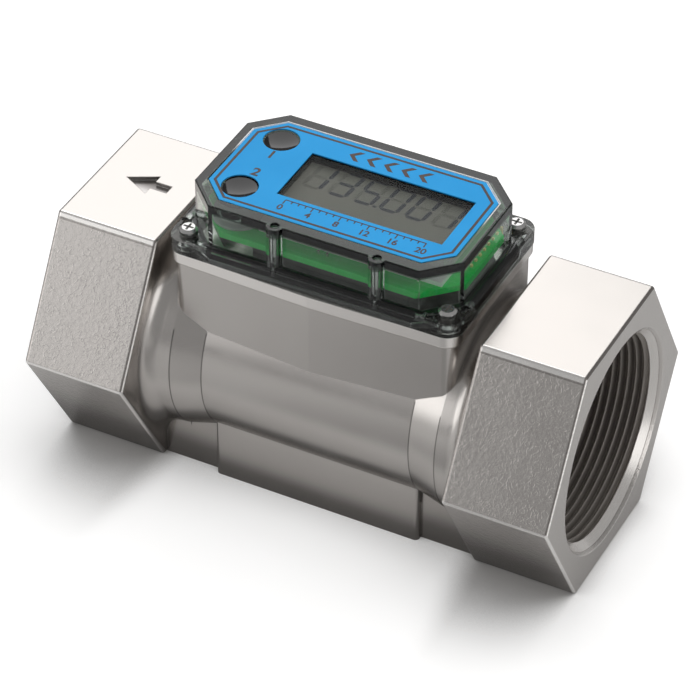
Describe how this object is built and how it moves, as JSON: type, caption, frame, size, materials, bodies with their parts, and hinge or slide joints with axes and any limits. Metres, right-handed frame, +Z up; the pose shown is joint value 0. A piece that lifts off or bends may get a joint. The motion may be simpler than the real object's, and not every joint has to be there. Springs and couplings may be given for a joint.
{
  "type": "turbine flow meter",
  "caption": "Stainless turbine flow meter: hexagonal threaded ends, a helical rotor on a fixed shaft, and a clear bevelled cover over a circuit board, liquid crystal display and buttons",
  "frame": {"origin": "on the base, midway between the two ends of the pipe", "axes": "+X along the pipe towards the inlet end, +Y to the back of the display, +Z up"},
  "size_m": [0.1524, 0.0836, 0.0909],
  "materials": {
    "cast_stainless": "blasted investment casting, satin",
    "support_plastic": "moulded, satin",
    "spring_steel": "plain rolled",
    "hard_washer": "ground and polished",
    "hard_shaft": "ground and polished",
    "rotor_plastic": "moulded, satin",
    "magnet": "nickel plated",
    "copper": "enamelled wire",
    "pin_metal": "tinned",
    "seal_rubber": "matt",
    "smoky_clear": "clear, lightly smoked, polished",
    "screw_steel": "bright",
    "board_green": "solder mask, satin",
    "gold": "plated, bright",
    "can_metal": "satin",
    "black_plastic": "moulded, satin",
    "white_plastic": "moulded, satin",
    "strip_rubber": "matt",
    "display_grey": "liquid crystal cell, grey-green",
    "bezel_black": "moulded, gloss",
    "lens_clear": "clear, polished",
    "label_blue": "printed film, satin",
    "button_black": "moulded, gloss",
    "dome_rubber": "silicone, satin"
  },
  "bodies": {
    "root": {"body_casting": "cast_stainless", "upstream_support": "support_plastic", "downstream_support": "support_plastic", "upstream_retaining_ring": "spring_steel", "downstream_retaining_ring": "spring_steel", "upstream_thrust_washer": "hard_washer", "downstream_thrust_washer": "hard_washer", "rotor_shaft": "hard_shaft", "pickup_core": "spring_steel", "pickup_bobbin": "black_plastic", "pickup_winding": "copper", "pickup_terminals": "pin_metal", "cover_gasket": "seal_rubber", "clear_cover": "smoky_clear", "cover_pins": "screw_steel", "cover_screws": "screw_steel", "circuit_board": "board_green", "header_pins": "gold", "controller_chip": "black_plastic", "clock_crystal": "can_metal", "front_switch": "black_plastic", "rear_switch": "black_plastic", "battery_tray": "black_plastic", "display_holder": "white_plastic", "contact_strips": "strip_rubber", "display_glass": "display_grey", "display_bezel": "bezel_black", "display_lens": "lens_clear", "label_plate": "label_blue", "front_button_dome": "dome_rubber", "rear_button_dome": "dome_rubber", "coin_cell_1": "can_metal", "coin_cell_2": "can_metal", "battery_contact_1": "spring_steel", "battery_contact_2": "spring_steel"},
    "rotor": {"turbine_rotor": "rotor_plastic", "rotor_bush": "hard_washer", "rotor_magnets": "magnet"},
    "front_button": {"front_button": "button_black"},
    "rear_button": {"rear_button": "button_black"}
  },
  "joints": [
    {"name": "rotor_spin", "type": "hinge", "parent": "root", "child": "rotor", "pos_m": [0, 0, 0.03635], "axis": [1, 0, 0], "continuous": true},
    {"name": "front_button_press", "type": "slide", "parent": "root", "child": "front_button", "axis": [0, 0, -1], "range_m": [0, 0.0008], "stiffness_N_per_m": 1500, "deforming": ["front_button_dome"]},
    {"name": "rear_button_press", "type": "slide", "parent": "root", "child": "rear_button", "axis": [0, 0, -1], "range_m": [0, 0.0008], "stiffness_N_per_m": 1500, "deforming": ["rear_button_dome"]}
  ]
}
